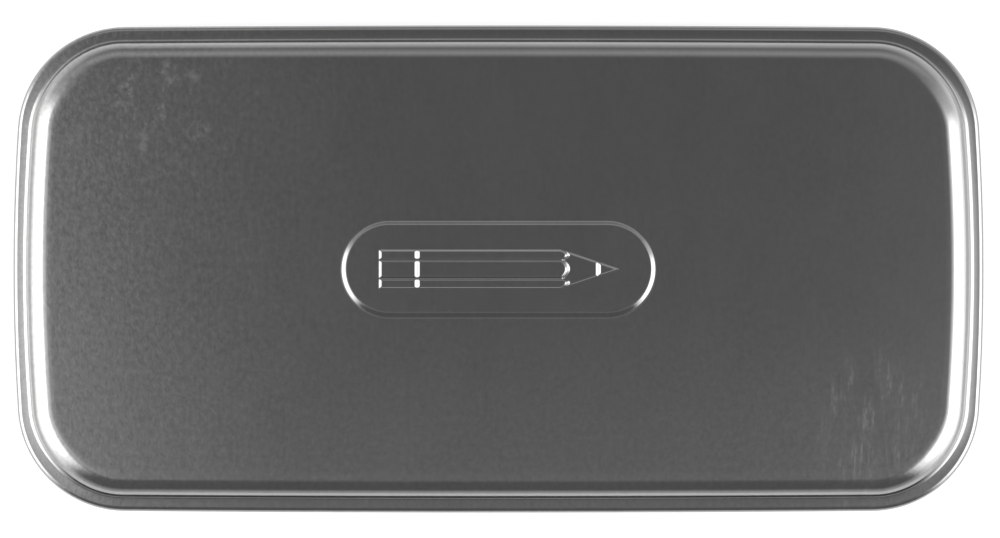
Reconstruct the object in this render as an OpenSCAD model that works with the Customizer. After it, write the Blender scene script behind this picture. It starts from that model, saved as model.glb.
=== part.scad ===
// Flat tin for a row of coloured pencils: slip lid, base, moulded tray, foam sheet and pencils.
// X runs along the pencils, Y across them and Z up. The origin is the middle of the underside.
// Sizes are in millimetres and angles in degrees. The tin grows with the pencils that it holds.

/* [Pencils] */
// Number of pencils side by side
pencil_count = 12; // [8:1:16]
// Length of a sharpened pencil, point to butt
pencil_len = 174; // [120:1:190]
// Width of the hexagonal casing across its flats
pencil_af = 7.0; // [6.4:0.1:7.2]
// Width of the casing across its rounded corners, as a multiple of that across its flats
pencil_ac_ratio = 1.11; // [1.08:0.01:1.14]
// Diameter of the coloured core
core_d = 3.6; // [2.2:0.1:4.4]
// Diameter of the blunt point
point_d = 0.6; // [0.3:0.1:1.2]
// Length of sharpened taper for each millimetre of radius
taper = 5; // [3:0.5:7]
// Chamfer round the butt
butt_chamfer = 0.4; // [0.2:0.1:1]
// Gap between the corners of neighbouring pencils
pencil_gap = 0.13; // [0.1:0.01:1]

/* [Tin] */
// Room from the pencils to the outside of the tin at each end
end_room = 16; // [16:0.5:24]
// Room from the pencils to the outside of the tin at each side
side_room = 4.4; // [4.4:0.1:8]
// Corner radius of the lid, seen from above
corner_r = 22.9; // [19:0.1:23]
// How far each half of a short end turns as it bows outwards
end_turn = 3.6; // [2:0.1:5]
// How far each half of a long side turns as it bows outwards
side_turn = 0.5; // [0.3:0.05:0.6]
// Thickness of the tinplate
gauge = 0.3; // [0.25:0.01:0.35]
// Height of the hem folded along the lid's skirt and the base's rim
hem_h = 1.8; // [1.2:0.1:2.5]
// Slip clearance between the lid's hem and the base
slip_gap = 0.15; // [0.1:0.01:0.3]
// Gap between the base's rim and the lid's ledge
rim_gap = 0.2; // [0.1:0.05:0.5]

/* [Lid] */
// Height of the raised crown above the ledge
crown_rise = 3.0; // [2:0.1:3.5]
// Radius of the crown's edge
crown_edge_r = 4.2; // [3.8:0.1:5]
// Corner radius of the crown, seen from above
crown_corner_r = 20.1; // [16:0.1:20.5]
// How far each half of the crown's short ends turns
crown_end_turn = 4.4; // [2:0.1:5]
// How far each half of the crown's long sides turns
crown_side_turn = 0.45; // [0.3:0.05:0.6]
// Width of the ledge at the short ends
end_ledge = 2.3; // [2:0.1:4]
// Width of the ledge along the long sides
side_ledge = 2.9; // [2.5:0.1:4]
// Radius of the bend from the ledge to the skirt
ledge_edge_r = 1.0; // [0.8:0.1:1.8]
// Depth of the skirt below the ledge
skirt_drop = 7.2; // [5:0.1:8]

/* [Embossed panel] */
// Length of the raised panel on the lid
panel_len = 66; // [50:1:90]
// Width of the panel, whose ends are fully round
panel_wid = 20; // [16:0.5:28]
// How far the panel is raised
panel_rise = 0.4; // [0.35:0.05:0.6]
// Width of the panel's sloping edge
panel_slope = 0.5; // [0.3:0.05:0.8]
// Length of the pencil stamped on the panel
mark_len = 50; // [30:1:52]
// Width of the stamped pencil
mark_wid = 7.8; // [5:0.1:10]
// Width of the grooves between its facets
mark_groove = 0.5; // [0.3:0.1:1]
// How far it stands above the panel
mark_rise = 0.3; // [0.2:0.05:0.5]

/* [Base] */
// Radius of the base's bottom edge
foot_edge_r = 2.5; // [2:0.1:2.6]
// Width of the ring that the tin stands on
foot_wid = 3.6; // [2:0.1:8]
// How far the middle of the base is pressed up
floor_rise = 0.8; // [0.5:0.1:1.2]

/* [Tray] */
// Thickness of the moulded sheet
sheet = 0.5; // [0.4:0.05:0.6]
// Clearance between the tray and the base's hem
tray_gap = 0.25; // [0.2:0.05:0.5]
// Height of the grooves' bottom above the base's floor
groove_lift = 2.1; // [1.6:0.1:4]
// Clearance between a pencil and the sides of its groove
groove_gap = 0.15; // [0.1:0.05:0.3]
// Clearance past each end of a pencil
groove_end_gap = 0.3; // [0.3:0.1:1]
// Height of the ridges between the grooves
ridge_h = 2.3; // [1.8:0.1:2.6]
// Height of the land round the pencils above the grooves' bottom
land_h = 5.0; // [4.4:0.1:6]
// Radius of the land's outer edge
land_edge_r = 0.6; // [0.6:0.1:1]
// Width of the finger trough across the pencils
trough_wid = 28; // [15:1:50]
// Slope of the trough's sides, from upright
trough_slope = 20; // [5:1:30]
// Width of the stiffening recess in each end land
recess_wid = 5; // [3:0.1:6]
// Length of the recess, whose ends are fully round
recess_len = 52; // [30:1:56]

/* [Foam sheet] */
// Thickness of the foam
foam_t = 2.8; // [1.5:0.1:4]
// Space between the foam and the lid
head_gap = 0.5; // [0.3:0.1:1.5]
// Clearance from the foam's edge to the curve of the crown
foam_edge_gap = 0.6; // [0.4:0.1:3]

/* [Hidden] */
PENCIL_COLOURS = ["gold", "orange", "orangered", "crimson", "hotpink", "rebeccapurple",
                  "royalblue", "deepskyblue", "seagreen", "yellowgreen", "sienna", "dimgray"];

seat_gap = 0.1;   // between hard pieces, one of which rests on the other
soft_gap = 0.3;   // between the foam and what it lies on
glue_line = 0.02; // between a core and its casing
lap = 1;          // how far one form reaches into the next, so that they join
hub = 3;          // how far a form's middle block reaches into its round corners

pencil_ac = pencil_ac_ratio * pencil_af;
pencil_pitch = pencil_ac + pencil_gap;
row_reach = (pencil_count - 1) / 2 * pencil_pitch;
tin_len = pencil_len + 2 * end_room;
tin_wid = 2 * row_reach + pencil_ac + 2 * side_room;

// Heights above the surface that the tin stands on
floor_z = floor_rise + gauge;
tray_z = floor_z + seat_gap;
groove_z = floor_z + groove_lift;
land_z = groove_z + land_h;
pencil_z = groove_z + seat_gap + pencil_af / 2;
foam_z = pencil_z + pencil_af / 2 + soft_gap;
crown_z = foam_z + foam_t + head_gap + gauge;
ledge_z = crown_z - crown_rise;
skirt_z = ledge_z - skirt_drop;
rim_z = ledge_z - gauge - rim_gap;

// The plan outlines are rectangles with round corners, whose sides bow outwards in one arc.
// Each is [half length, half width, corner radius, turn of the ends, turn of the sides].
LID = [tin_len / 2, tin_wid / 2, corner_r, end_turn, side_turn];
CROWN = [tin_len / 2 - end_ledge, tin_wid / 2 - side_ledge,
         crown_corner_r, crown_end_turn, crown_side_turn];
BASE = inset(LID, 2 * gauge + slip_gap);
FLOOR = inset(BASE, foot_edge_r + foot_wid);
TRAY = inset(BASE, 2 * gauge + tray_gap);
crown_inner_r = crown_edge_r - gauge;
foam_corner_reach = sqrt(pow(crown_inner_r, 2) - pow(crown_inner_r - head_gap, 2));
FOAM = inset(CROWN, crown_edge_r - foam_corner_reach + foam_edge_gap);

// The same outline drawn d further in. Every arc keeps its centre.
function inset(o, d) = [o[0] - d, o[1] - d, o[2] - d, o[3], o[4]];
// Middle of the round corner in +X and +Y, where the neighbouring arcs run into it smoothly
function corner_y(o) = (o[1] - o[2] - (o[0] - o[2]) * tan(o[4] / 2))
                       / (1 - tan(o[3] / 2) * tan(o[4] / 2));
function corner_x(o) = o[0] - o[2] - corner_y(o) * tan(o[3] / 2);

// Half the width of a pencil's groove at a height above its bottom, with the pencil in it
function groove_reach(h) = min(pencil_ac / 2 + groove_gap,
                               pencil_af / 2 * tan(30) + (h - seat_gap) * tan(30)
                               + groove_gap / cos(30));

function two_digits(i) = str(i < 10 ? "0" : "", i);
function pencil_node(i, piece) = str("pencil_", two_digits(i), "_", piece);

// Moves by whole steps, then by hundredths and then by the rest, so that the far centre of a
// long arc keeps its last digits and the arc ends exactly where the next one starts
module fine_translate(v, step = 100) {
    coarse = [for (x = v) step * round(x / step)];
    translate(coarse)
        if (step == 100)
            fine_translate(v - coarse, 0.01) children();
        else
            translate(v - coarse)
                children();
}

// One arc of an outline, swept with the profile given as a child. In the profile X is the
// distance outwards from the outline and Y is the height, and $depth is how far inwards the
// profile may reach.
module arc_sweep(centre, r, from, to, depth) {
    $depth = depth;
    fine_translate(centre)
        rotate_extrude(start = from, angle = to - from, $fn = max(96, ceil(2400 / (to - from))))
            fine_translate([r, 0])
                children();
}

// The profile swept all the way round an outline: two ends, two sides and four corners
module sweep(o) {
    cx = corner_x(o);
    cy = corner_y(o);
    end_r = o[2] + cy / sin(o[3]);
    side_r = o[2] + cx / sin(o[4]);
    side_depth = max(o[0] - cx, o[1] - cy);
    corner_depth = o[2] - lap;
    for (turn = [0, 180])
        rotate(turn) {
            arc_sweep([o[0] - end_r, 0], end_r, -o[3], o[3], side_depth) children();
            arc_sweep([0, o[1] - side_r], side_r, 90 - o[4], 90 + o[4], side_depth) children();
            arc_sweep([cx, cy], o[2], o[3], 90 - o[4], corner_depth) children();
            arc_sweep([-cx, cy], o[2], 90 + o[4], 180 - o[3], corner_depth) children();
        }
}

// A quarter of a disc: its square corner is r down and r in from the origin
module quarter_disc(r) {
    translate([-r, -r])
        intersection() {
            circle(r, $fn = 96);
            square(r);
        }
}

// Profile of a solid form from z0 up to z1, with its top or its bottom edge rounded
module solid_profile(z0, z1, top_r, bottom_r) {
    edge_r = max(top_r, bottom_r);
    translate([-$depth, z0]) square([$depth - edge_r, z1 - z0]);
    if (edge_r > 0)
        translate([-edge_r, z0 + bottom_r]) square([edge_r, z1 - z0 - top_r - bottom_r]);
    if (top_r > 0)
        translate([0, z1]) quarter_disc(top_r);
    if (bottom_r > 0)
        translate([0, z0]) mirror([0, 1]) quarter_disc(bottom_r);
}

// A solid form that fills an outline
module form(o, z0, z1, top_r = 0, bottom_r = 0) {
    reach = [corner_x(o) + hub, corner_y(o) + hub];
    sweep(o) solid_profile(z0, z1, top_r, bottom_r);
    translate([-reach[0], -reach[1], z0])
        cube([2 * reach[0], 2 * reach[1], z1 - z0]);
}

// Profile of a hem whose outer face is at X = 0: the sheet's edge, folded inwards flat on
// itself, with the fold at the bottom
module hem_profile() {
    translate([-gauge, gauge]) circle(gauge, $fn = 48);
    translate([-2 * gauge, gauge]) square([2 * gauge, hem_h - gauge]);
}

// A strip with fully round ends, from z0 up to z1, narrower at the top by slope all round
module strip(len, wid, z0, z1, slope = 0) {
    end_reach = (len - wid) / 2;
    low = wid / 2;
    high = low - slope;
    for (s = [-1, 1])
        translate([s * end_reach, 0, z0])
            cylinder(h = z1 - z0, r1 = low, r2 = high, $fn = 96);
    translate([-end_reach, 0, 0])
        rotate([90, 0, 90])
            linear_extrude(2 * end_reach)
                polygon([[-low, z0], [low, z0], [high, z1], [-high, z1]]);
}

// The stamped pencil, lying along X with its point towards +X. Grooves part its three facets,
// the sharpened cone and the core, and a ring near the butt.
module pencil_mark() {
    half = mark_wid / 2;
    cone_x = mark_len / 2 - mark_wid * 1.5;
    tip_x = mark_len / 2 - mark_wid * 0.5;
    scallop = mark_wid / 6;
    facet = mark_wid / 4;
    difference() {
        polygon([[-mark_len / 2, -half], [cone_x, -half], [mark_len / 2, 0],
                 [cone_x, half], [-mark_len / 2, half]]);
        for (s = [-1, 1])
            translate([-mark_len / 2 - lap, s * facet - mark_groove / 2])
                square([cone_x + mark_len / 2 + lap, mark_groove]);
        for (y = [-3 / 8, 0, 3 / 8])
            translate([cone_x, y * mark_wid])
                polygon([[-scallop, -scallop], [mark_groove - scallop, -scallop],
                         [mark_groove, 0], [mark_groove - scallop, scallop],
                         [-scallop, scallop], [0, 0]]);
        for (x = [tip_x, mark_wid - mark_len / 2])
            translate([x, -half - lap])
                square([mark_groove, mark_wid + 2 * lap]);
    }
}

// Lid: a raised crown with a soft edge, a narrow ledge round it and a skirt with a hem
module lid_shell() {
    join_z = skirt_z + hem_h - lap / 2;
    color("silver") {
        difference() {
            union() {
                form(LID, join_z, ledge_z, top_r = ledge_edge_r);
                form(CROWN, crown_z - crown_edge_r - lap / 2, crown_z, top_r = crown_edge_r);
                strip(panel_len, panel_wid, crown_z, crown_z + panel_rise, panel_slope);
                translate([0, 0, crown_z])
                    linear_extrude(panel_rise + mark_rise)
                        pencil_mark();
            }
            form(inset(LID, gauge), join_z - lap, ledge_z - gauge, top_r = ledge_edge_r - gauge);
            form(inset(CROWN, gauge), crown_z - crown_edge_r - lap, crown_z - gauge,
                 top_r = crown_inner_r);
            strip(panel_len - 2 * gauge, panel_wid - 2 * gauge, crown_z - gauge,
                  crown_z - gauge + panel_rise, panel_slope);
        }
        sweep(LID)
            translate([0, skirt_z])
                hem_profile();
    }
}

// Base: a drawn pan with a hemmed rim, standing on a ring round its raised floor
module base_shell() {
    color("silver")
        difference() {
            union() {
                difference() {
                    form(BASE, 0, rim_z - hem_h + lap / 2, bottom_r = foot_edge_r);
                    form(inset(BASE, gauge), gauge, rim_z, bottom_r = foot_edge_r - gauge);
                }
                form(inset(FLOOR, -gauge), gauge / 2, floor_z, top_r = 2 * gauge);
                sweep(BASE)
                    translate([0, rim_z])
                        mirror([0, 1])
                            hem_profile();
            }
            form(FLOOR, -lap, floor_rise, top_r = gauge);
        }
}

// Section across all the grooves, open at the top. Grown outwards by t, it is the same
// section on the other side of a sheet that is t thick.
module groove_section(t) {
    flank = t / cos(30);
    foot = groove_reach(0) + flank - t * tan(30);
    full = groove_reach(land_h) + t;
    full_z = (full - groove_reach(0) - flank) / tan(30);
    ridge_z = ridge_h - t;
    ridge_reach = row_reach + groove_reach(0) + flank + ridge_z * tan(30);
    top_z = land_h + lap;
    for (i = [0 : pencil_count - 1])
        translate([i * pencil_pitch - row_reach, 0])
            polygon([[-foot, -t], [foot, -t], [full, full_z], [-full, full_z]]);
    translate([-ridge_reach, ridge_z]) square([2 * ridge_reach, top_z - ridge_z]);
    translate([-row_reach - full, full_z]) square([2 * (row_reach + full), top_z - full_z]);
}

// Everything that is open above the tray, grown by t: grooves, finger trough and end recesses
module tray_pockets(t) {
    reach = pencil_len / 2 + groove_end_gap + t;
    pit_z = tray_z + sheet - t;
    top_z = land_z + lap;
    low = trough_wid / 2 - (groove_z - tray_z - sheet) * tan(trough_slope) + t / cos(trough_slope)
          - t * tan(trough_slope);
    high = low + (top_z - pit_z) * tan(trough_slope);
    recess_x = (pencil_len / 2 + TRAY[0]) / 2;
    translate([-reach, 0, groove_z])
        rotate([90, 0, 90])
            linear_extrude(2 * reach)
                groove_section(t);
    translate([0, row_reach + t, 0])
        rotate([90, 0, 0])
            linear_extrude(2 * (row_reach + t))
                polygon([[-low, pit_z], [low, pit_z], [high, top_z], [-high, top_z]]);
    for (s = [-1, 1])
        translate([s * recess_x, 0, 0])
            rotate(90)
                strip(recess_len + 2 * t, recess_wid + 2 * t, pit_z, top_z);
}

// Tray: one moulded sheet with a groove for each pencil and a finger trough across them
module pencil_tray() {
    color("whitesmoke")
        difference() {
            form(TRAY, tray_z, land_z, top_r = land_edge_r);
            tray_pockets(0);
            difference() {
                form(inset(TRAY, sheet), tray_z - lap, land_z - sheet);
                tray_pockets(sheet);
            }
        }
}

// Foam sheet that keeps the pencils still under the lid
module foam_sheet() {
    color("lightgray")
        form(FOAM, foam_z, foam_z + foam_t);
}

// Half section of a sharpened pencil from its axis out to radius r, with X as the radius and
// Y as the distance from the butt. The cone is the same for the core and the casing.
module pencil_section(r, chamfer) {
    cone = (r - point_d / 2) * taper;
    polygon([[0, 0], [r - chamfer, 0], [r, chamfer], [r, pencil_len - cone],
             [point_d / 2, pencil_len], [0, pencil_len]]);
}

// Places a pencil, drawn upright on its butt, in groove i of the tray with its point towards +X
module in_groove(i) {
    translate([-pencil_len / 2, (i - 1) * pencil_pitch - row_reach, pencil_z])
        rotate([0, 90, 0])
            children();
}

// Wooden casing: a hexagon with rounded corners, sharpened to a cone that scallops its lacquer
module pencil_casing(i) {
    color(PENCIL_COLOURS[(i - 1) % len(PENCIL_COLOURS)])
        in_groove(i)
            difference() {
                intersection() {
                    rotate(30) // so that a flat lies at the bottom
                        cylinder(h = pencil_len, d = pencil_af / cos(30), $fn = 6);
                    rotate_extrude($fn = 96)
                        pencil_section(pencil_ac / 2, butt_chamfer);
                }
                translate([0, 0, -lap])
                    cylinder(h = pencil_len + 2 * lap, d = core_d + 2 * glue_line, $fn = 64);
            }
}

// Coloured core, from the butt to the blunt point
module pencil_core(i) {
    color(PENCIL_COLOURS[(i - 1) % len(PENCIL_COLOURS)])
        in_groove(i)
            rotate_extrude($fn = 64)
                pencil_section(core_d / 2, 0);
}

lid_shell();
base_shell();
pencil_tray();
foam_sheet();
for (i = [1 : pencil_count]) {
    pencil_casing(i);
    pencil_core(i);
}
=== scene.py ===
# %% [markdown]
# # A tinplate tin of coloured pencils
# The real thing is a flat slip-lid tin. Its lid and base are drawn from bare tinplate 0.3 mm
# thick, and between them lie a moulded tray, twelve pencils and a sheet of foam. The solids of
# all these pieces are loaded first and stay as they are. The metal shells and the foam are then
# modelled again with smoother surfaces, and every piece gets a finish of its own.

import math

import bpy
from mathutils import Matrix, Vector


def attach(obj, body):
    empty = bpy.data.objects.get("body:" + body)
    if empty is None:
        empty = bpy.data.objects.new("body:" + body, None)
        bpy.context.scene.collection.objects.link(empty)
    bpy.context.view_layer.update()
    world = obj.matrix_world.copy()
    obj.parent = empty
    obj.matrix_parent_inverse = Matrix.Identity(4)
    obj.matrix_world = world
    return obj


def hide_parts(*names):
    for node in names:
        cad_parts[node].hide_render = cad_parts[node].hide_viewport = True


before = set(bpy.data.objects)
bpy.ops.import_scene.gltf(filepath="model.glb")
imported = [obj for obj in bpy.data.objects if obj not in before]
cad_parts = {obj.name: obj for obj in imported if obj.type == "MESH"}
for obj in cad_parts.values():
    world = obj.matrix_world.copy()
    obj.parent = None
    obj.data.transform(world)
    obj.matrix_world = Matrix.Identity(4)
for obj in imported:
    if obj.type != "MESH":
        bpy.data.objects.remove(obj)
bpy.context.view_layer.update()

# %% [markdown]
# ## Camera
# The tin is seen from straight above, so the camera looks down its own Z axis and needs no
# turning. A long lens a metre away keeps the outline true, and its focal length follows from
# how wide the frame should be at the height of the lid's ledge.

# %% Set up the camera
MM = 0.001
SENSOR = 36.0          # mm
CAMERA_HEIGHT = 1.0    # m above the floor
LEDGE_Z = 11.2         # mm, height of the lid's ledge
FRAME_WIDTH = 212.15   # mm across the frame at the ledge
FRAME_CENTRE = 0.32    # mm from the middle of the tin along X

lens = bpy.data.cameras.new("Long lens")
lens.sensor_width = SENSOR
lens.lens = SENSOR * (CAMERA_HEIGHT / MM - LEDGE_Z) / FRAME_WIDTH
camera = bpy.data.objects.new("Camera", lens)
camera.location = (FRAME_CENTRE * MM, 0, CAMERA_HEIGHT)
bpy.context.scene.collection.objects.link(camera)
bpy.context.scene.camera = camera
print("focal length:", round(lens.lens, 1), "mm")

# %% [markdown]
# ## Outlines
# Seen from above, the tin is a rectangle with round corners whose four sides bow outwards a
# little. That makes eight arcs, and each runs smoothly into the next. A ring of the shell is
# drawn as rays: each ray has the centre of its arc, a radius and a direction, so the same ring
# can be drawn any distance further in without changing its character.

# %% Rays of an outline
ARC_STEPS = {"end": 10, "corner": 26, "side": 14}   # vertices on each arc


def arc_rays(centre, radius, start, stop, steps):
    """Rays of one arc, from start up to but not including stop, in degrees."""
    turns = [math.radians(start + (stop - start) * i / steps) for i in range(steps)]
    return [(centre, radius, (math.cos(a), math.sin(a))) for a in turns]


def outline_rays(half_len, half_wid, corner_r, end_turn, side_turn):
    """Rays round a rectangle with round corners and bowed sides, anticlockwise from +X."""
    end_tan = math.tan(math.radians(end_turn / 2))
    side_tan = math.tan(math.radians(side_turn / 2))
    cy = (half_wid - corner_r - (half_len - corner_r) * side_tan) / (1 - end_tan * side_tan)
    cx = half_len - corner_r - cy * end_tan
    end_r = corner_r + cy / math.sin(math.radians(end_turn))
    side_r = corner_r + cx / math.sin(math.radians(side_turn))
    rays = []
    for s, turn in ((1, 0), (-1, 180)):
        rays += arc_rays((s * (half_len - end_r), 0), end_r,
                         turn - end_turn, turn + end_turn, ARC_STEPS["end"])
        rays += arc_rays((s * cx, s * cy), corner_r,
                         turn + end_turn, turn + 90 - side_turn, ARC_STEPS["corner"])
        rays += arc_rays((0, s * (half_wid - side_r)), side_r,
                         turn + 90 - side_turn, turn + 90 + side_turn, ARC_STEPS["side"])
        rays += arc_rays((-s * cx, s * cy), corner_r,
                         turn + 90 + side_turn, turn + 180 - end_turn, ARC_STEPS["corner"])
    return rays


def strip_rays(length, width):
    """Rays round a strip with fully round ends, with as many vertices as an outline."""
    reach = (length - width) / 2
    half_turn = ARC_STEPS["end"] + 2 * ARC_STEPS["corner"]
    rays = []
    for s, turn in ((1, 0), (-1, 180)):
        rays += arc_rays((s * reach, 0), width / 2, turn - 90, turn + 90, half_turn)
        for i in range(ARC_STEPS["side"]):
            x = s * reach * (1 - 2 * i / ARC_STEPS["side"])
            rays.append(((x, 0), width / 2, (0, s)))
    first = ARC_STEPS["corner"]   # an outline starts in the middle of its end
    return rays[first:] + rays[:first]


# lengths are in mm, and turns are how many degrees an end or a side turns each way
LID = outline_rays(half_len=103, half_wid=51.735, corner_r=22.9, end_turn=3.6, side_turn=0.5)
CROWN = outline_rays(half_len=100.7, half_wid=48.835, corner_r=20.1, end_turn=4.4, side_turn=0.45)
BASE = outline_rays(half_len=102.25, half_wid=50.985, corner_r=22.15, end_turn=3.6, side_turn=0.5)
PANEL = strip_rays(length=66, width=20)
print("vertices on a ring:", len(LID), len(CROWN), len(BASE), len(PANEL))

# %% [markdown]
# ## Drawing a shell
# A press draws a flat sheet down over a punch, ring by ring, and the mesh is made the same
# way: a circle is laid on the first ring, and its edge is extruded to each next ring of the
# profile. A profile is a list of rings, each with its outline, how far in it lies and its
# height. Round bends are short runs of rings on an arc.

# %% Rings and bends
def ring_points(rays, inset, height):
    """A ring's points, in metres. Inset and height are numbers or functions of a direction."""
    points = []
    for centre, radius, way in rays:
        reach = radius - (inset(way) if callable(inset) else inset)
        level = height(way) if callable(height) else height
        points.append(Vector((centre[0] + reach * way[0], centre[1] + reach * way[1], level)) * MM)
    return points


def bend(centre, radius, start, stop, steps):
    """(inset, height) of the rings round a bend, with its angles seen along the rim."""
    turns = [math.radians(start + (stop - start) * i / steps) for i in range(steps + 1)]
    return [(centre[0] - radius * math.cos(a), centre[1] + radius * math.sin(a)) for a in turns]


def on(rays, points):
    """Profile rows that share one outline, from (inset, height) pairs."""
    return [(rays, inset, height) for inset, height in points]


print("rings on a bend of four steps:", len(on(LID, bend((1, 1), 1, 0, 90, 4))))

# %% Draw a shell ring by ring
START_R = 0.1   # m, the circle is about as wide as the tin before it's laid on its first ring


def deselect_all():
    """Leaves edit mode and deselects every object."""
    if bpy.context.object and bpy.context.object.mode == "EDIT":
        bpy.ops.object.mode_set(mode="OBJECT")
    bpy.ops.object.select_all(action="DESELECT")


def spot(vertex):
    """A vertex's place, rounded so that two places can be compared."""
    return tuple(round(c, 7) for c in vertex.co)


def draw_shell(name, profile):
    """Extrudes a circle from ring to ring. A profile row is (rays, inset, height)."""
    deselect_all()
    bpy.ops.mesh.primitive_circle_add(vertices=len(profile[0][0]), radius=START_R,
                                      fill_type="NOTHING")
    shell = bpy.context.object
    shell.name = shell.data.name = name
    count = len(shell.data.vertices)
    for vertex, point in zip(shell.data.vertices, ring_points(*profile[0])):
        vertex.co = point
    order = range(count)   # which of its ring's points each vertex lies on
    for row in profile[1:]:
        bpy.ops.object.mode_set(mode="EDIT")
        bpy.ops.mesh.extrude_edges_move(TRANSFORM_OT_translate={"value": (0, 0, 0)})
        bpy.ops.object.mode_set(mode="OBJECT")
        ring = shell.data.vertices[-count:]
        before = shell.data.vertices[-2 * count:-count]
        # an extruded vertex still lies on the one that it comes from, and that tells its point
        point_at = {spot(vertex): index for vertex, index in zip(before, order)}
        order = [point_at[spot(vertex)] for vertex in ring]
        points = ring_points(*row)
        for vertex, index in zip(ring, order):
            vertex.co = points[index]
    return shell


# %% [markdown]
# ## Lid
# The lid's outer skin runs from the hem, where the sheet is folded in flat on itself, up the
# skirt, over a tight bend to the narrow ledge, and through a small hollow up the crown's soft
# edge to the flat top. From there the rings change over to the raised panel in the middle. One
# skin made this way has the even curvature that polished metal needs to reflect without waves.

# %% Hems
GAUGE = 0.3            # mm, thickness of the tinplate
HEM_H = 1.8            # mm, height of a hem
HEM_MARK = 0.03        # mm, depth of the faint line that a hem's edge leaves outside
HEM_MARK_REACH = 0.15  # mm that the line spreads up and down
FOLD_STEPS = 6


def fold(height, up):
    """The rings round a hem's fold, from its inner to its outer face. up is 1 or -1."""
    return [(GAUGE + GAUGE * math.cos(a), height - up * GAUGE * math.sin(a))
            for a in (math.pi * i / FOLD_STEPS for i in range(FOLD_STEPS + 1))]


def hem_mark(height, up):
    """The rings of the faint line outside a hem's edge."""
    reach = up * HEM_MARK_REACH
    return [(0, height - reach), (HEM_MARK, height), (0, height + reach)]


print("a hem is", HEM_H, "mm high and", 2 * GAUGE, "mm thick, and folds in", FOLD_STEPS, "steps")

# %% Bends that change round the lid
CROWN_Z = 14.2   # mm, height of the flat top


def at_end(side_value, end_value, corner_extra=0):
    """A value that changes from the long sides to the ends, as a function of a direction."""
    return lambda way: (side_value + (end_value - side_value) * way[0] ** 2
                        + corner_extra * (2 * way[0] * way[1]) ** 2)


crease_radius = at_end(0.4, 1.3)       # mm
crown_radius = at_end(4.2, 5.1, 0.8)   # mm, the sheet draws round the corners more softly
ledge_drop = at_end(0, 0.1)            # mm, at the ends the ledge lies a little lower


def crease_start(way):
    """Where the hollow runs into the crown's edge, as an angle on that edge from level."""
    r, edge_r = crease_radius(way), crown_radius(way)
    return math.asin((LEDGE_Z + r - CROWN_Z + edge_r) / (edge_r + r))


def crease_ring(share):
    """A ring of the hollow, from the ledge at 0 to the crown's edge at 1."""
    def inset(way):
        r, edge_r, start = crease_radius(way), crown_radius(way), crease_start(way)
        return edge_r - (edge_r + r) * math.cos(start) + r * math.sin(share * (math.pi / 2 - start))

    def height(way):
        r, start = crease_radius(way), crease_start(way)
        return LEDGE_Z + r - r * math.cos(share * (math.pi / 2 - start))
    return CROWN, inset, height


def crown_ring(share):
    """A ring of the crown's rounded edge, from the hollow at 0 to the top at 1."""
    def angle(way):
        return crease_start(way) + share * (math.pi / 2 - crease_start(way))
    return (CROWN, lambda way: crown_radius(way) * (1 - math.cos(angle(way))),
            lambda way: CROWN_Z - crown_radius(way) * (1 - math.sin(angle(way))))


def ledge_ring(inset, height):
    """A ring of the ledge or of the bend outside it."""
    return LID, inset, lambda way: height - ledge_drop(way)


print("crown's edge radius:", [round(crown_radius(way), 1) for way in ((0, 1), (1, 0))], "mm")

# %% Draw the lid's skin
SKIRT_Z, SKIRT_MID_Z = 4.0, 8                # mm, the skirt's edge, and a ring halfway up it
LEDGE_BEND_R, LEDGE_FLAT = 1.0, 0.1          # mm, the bend outside the ledge, and a flat
LEDGE_BEND_STEPS, CREASE_STEPS, CROWN_STEPS = 8, 6, 16
FLAT_INSETS = (6.2, 8, 12, 20)               # mm, rings on the flat top
PANEL_RISE, PANEL_SLOPE = 0.4, 0.5           # mm up, and mm across the slope
# (inset, height) of the rings at the foot and the head of that slope, in mm from each
PANEL_FOOT = ((-4, 0), (-0.6, 0), (-0.25, 0), (-0.08, 0.02), (0.08, 0.08))
PANEL_HEAD = ((-0.08, -0.08), (0.08, -0.02), (0.25, 0), (0.5, 0), (1.5, 0))

lid_profile = on(LID, [(2 * GAUGE, SKIRT_Z + HEM_H)] + fold(SKIRT_Z + GAUGE, 1)
                 + hem_mark(SKIRT_Z + HEM_H, 1) + [(0, SKIRT_MID_Z)])
lid_profile += [ledge_ring(*point) for point in
                bend((LEDGE_BEND_R, LEDGE_Z - LEDGE_BEND_R), LEDGE_BEND_R, 0, 90,
                     LEDGE_BEND_STEPS)]
lid_profile += [ledge_ring(LEDGE_BEND_R + LEDGE_FLAT, LEDGE_Z)]
lid_profile += [crease_ring(i / CREASE_STEPS) for i in range(CREASE_STEPS)]
lid_profile += [crown_ring(i / CROWN_STEPS) for i in range(CROWN_STEPS + 1)]
lid_profile += on(CROWN, [(inset, CROWN_Z) for inset in FLAT_INSETS])
lid_profile += on(PANEL, [(inset, CROWN_Z + rise) for inset, rise in PANEL_FOOT])
lid_profile += on(PANEL, [(PANEL_SLOPE + inset, CROWN_Z + PANEL_RISE + rise)
                          for inset, rise in PANEL_HEAD])
lid = draw_shell("lid_pressing", lid_profile)
print("lid skin:", len(lid.data.vertices), "vertices")

# %% [markdown]
# ## Stamped pencil
# A second die stamps a plain sharpened pencil on the panel. The sheet stretches over the die's
# edges, so the relief has soft shoulders and no sharp step. A fine grid fills the middle of the
# panel, and each of its vertices is lifted as high as the die stands there.

# %% The die's height at a point
MARK_LEN, MARK_WID, MARK_RISE = 50, 7.8, 0.3   # mm
MARK_GROOVE = 0.5      # mm, width of the grooves between facets
SHOULDER = 0.34        # mm over which the sheet climbs to the die's top
TONGUE = 1.3           # mm that the lacquer reaches down the cone on each facet
mark_half, groove_half, tip_end = MARK_WID / 2, MARK_GROOVE / 2, MARK_LEN / 2
cone_x = tip_end - 1.5 * MARK_WID   # where the cone starts
tip_x = tip_end - 0.5 * MARK_WID    # where the core shows
ring_x = MARK_WID - tip_end         # where the ring lies
cone_slant = math.cos(math.atan2(mark_half, tip_end - cone_x))


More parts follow.
